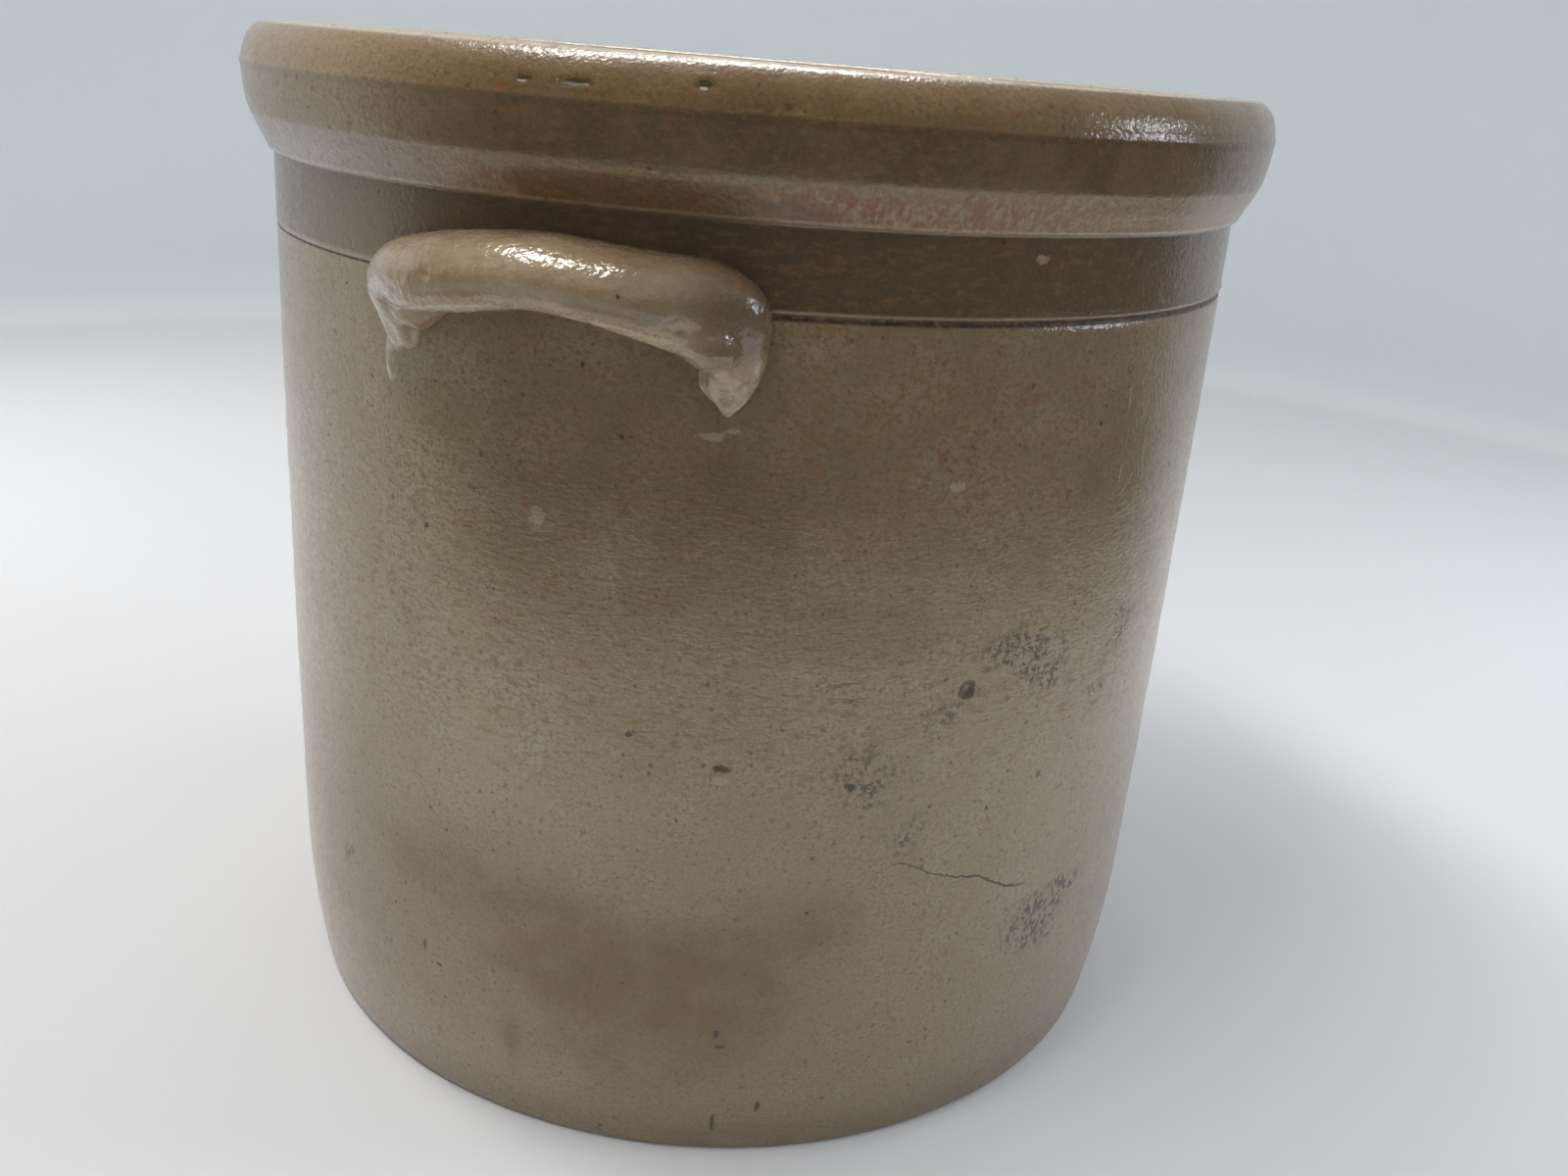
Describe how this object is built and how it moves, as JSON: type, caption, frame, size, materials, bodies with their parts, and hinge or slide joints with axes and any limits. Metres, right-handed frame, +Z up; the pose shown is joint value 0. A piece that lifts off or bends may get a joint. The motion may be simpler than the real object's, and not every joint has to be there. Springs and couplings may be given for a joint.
{
  "type": "fermenting crock",
  "caption": "Straight-sided salt-glazed stoneware crock with a rolled rim and two lug handles, holding a round pegged wooden follower and half-moon weights.",
  "frame": {"origin": "centre of the crock's flat base, where it stands", "axes": "+Z up the crock's axis to the rim; the handles stand on the Y axis, the front one towards -Y; +X to the right seen from the front"},
  "size_m": [0.3326, 0.3652, 0.318],
  "materials": {
    "salt_glaze": "satin salt glaze with iron specks",
    "pale_glaze": "glossy pale salt glaze",
    "board_wood": "bare, brine-darkened",
    "batten_wood": "bare, brine-darkened",
    "peg_wood": "bare end grain",
    "weight_glaze": "satin clear glaze over buff stoneware"
  },
  "bodies": {
    "crock": {"crock_body": "salt_glaze", "front_handle": "pale_glaze", "back_handle": "pale_glaze"},
    "follower": {"left_outer_board": "board_wood", "left_inner_board": "board_wood", "right_inner_board": "board_wood", "right_outer_board": "board_wood", "front_batten": "batten_wood", "back_batten": "batten_wood", "front_peg_1": "peg_wood", "front_peg_2": "peg_wood", "front_peg_3": "peg_wood", "front_peg_4": "peg_wood", "back_peg_1": "peg_wood", "back_peg_2": "peg_wood", "back_peg_3": "peg_wood", "back_peg_4": "peg_wood"},
    "left_weight": {"left_half_weight": "weight_glaze"},
    "right_weight": {"right_half_weight": "weight_glaze"}
  },
  "joints": [
    {"name": "follower_lift", "type": "slide", "parent": "crock", "child": "follower", "axis": [0, 0, 1], "range_m": [0, 0.34]},
    {"name": "left_weight_lift", "type": "slide", "parent": "follower", "child": "left_weight", "axis": [0, 0, 1], "range_m": [0, 0.3]},
    {"name": "right_weight_lift", "type": "slide", "parent": "follower", "child": "right_weight", "axis": [0, 0, 1], "range_m": [0, 0.3]}
  ]
}
